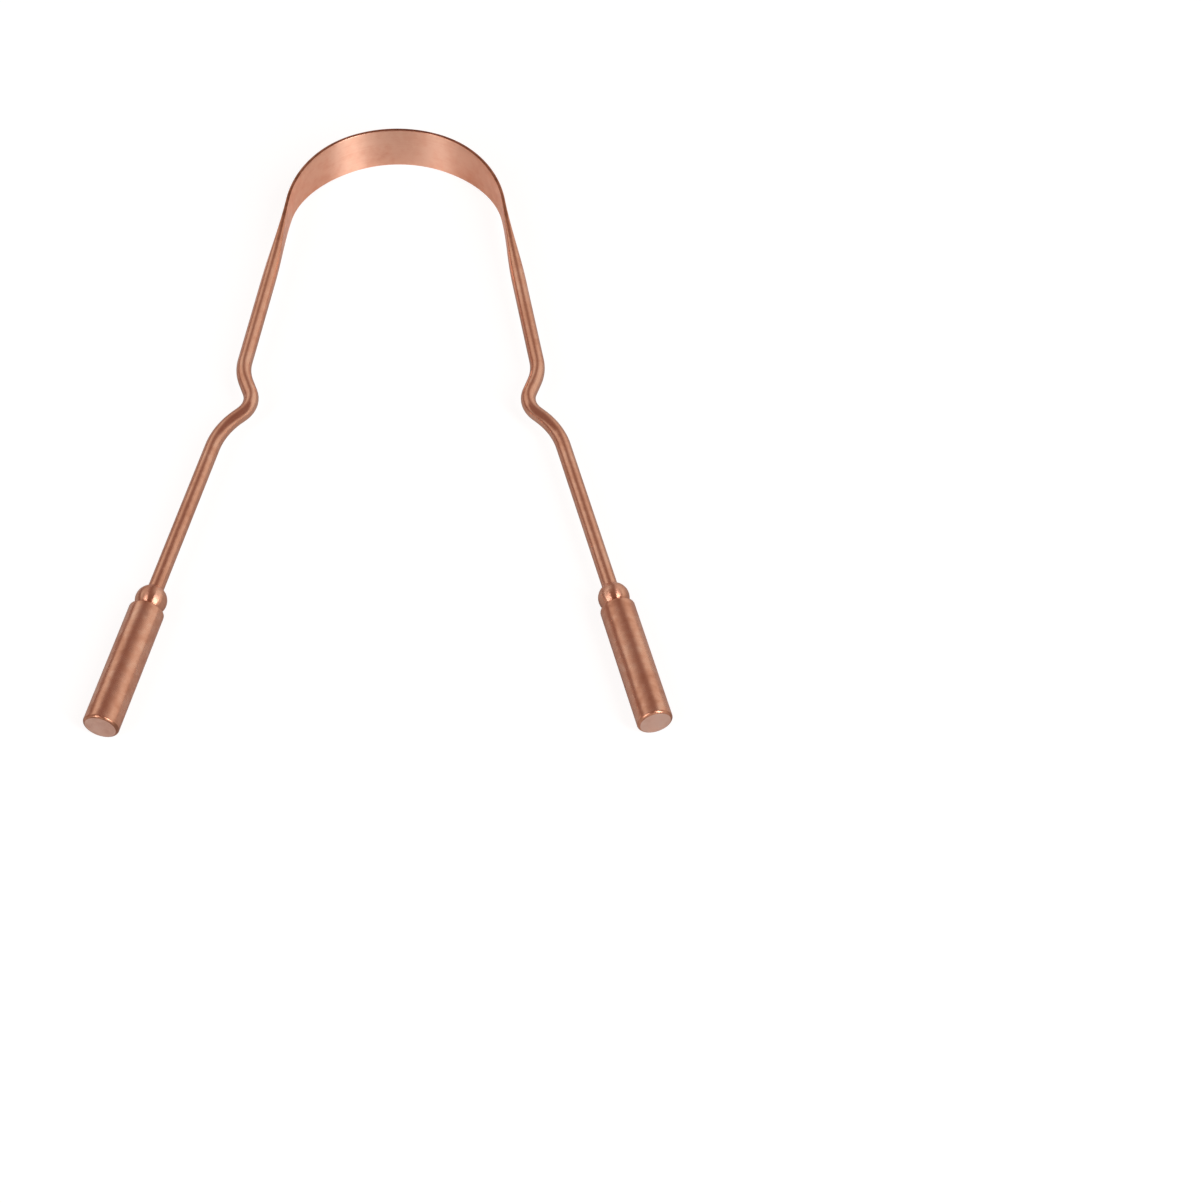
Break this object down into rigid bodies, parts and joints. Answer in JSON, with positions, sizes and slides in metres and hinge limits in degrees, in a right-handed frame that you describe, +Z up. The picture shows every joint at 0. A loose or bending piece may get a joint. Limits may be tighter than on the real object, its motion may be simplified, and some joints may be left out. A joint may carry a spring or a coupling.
{
  "type": "tongue scraper",
  "caption": "Copper tongue scraper: a bent wire bow, rolled flat at the crown into a scraping band, with S-bent finger stops and turned handles seated on ball collars.",
  "frame": {"origin": "centre of the scraper's outline, on the surface that it lies on", "axes": "+X to the right arm, +Y from the handles to the crown of the bow, +Z up from the surface"},
  "size_m": [0.1026, 0.1478, 0.0096],
  "materials": {
    "bow_copper": "satin rolled copper",
    "ball_copper": "polished copper",
    "handle_copper": "satin turned copper"
  },
  "bodies": {
    "root": {"scraper_bow": "bow_copper", "left_ball_collar": "ball_copper", "right_ball_collar": "ball_copper", "left_handle": "handle_copper", "right_handle": "handle_copper"}
  },
  "joints": []
}
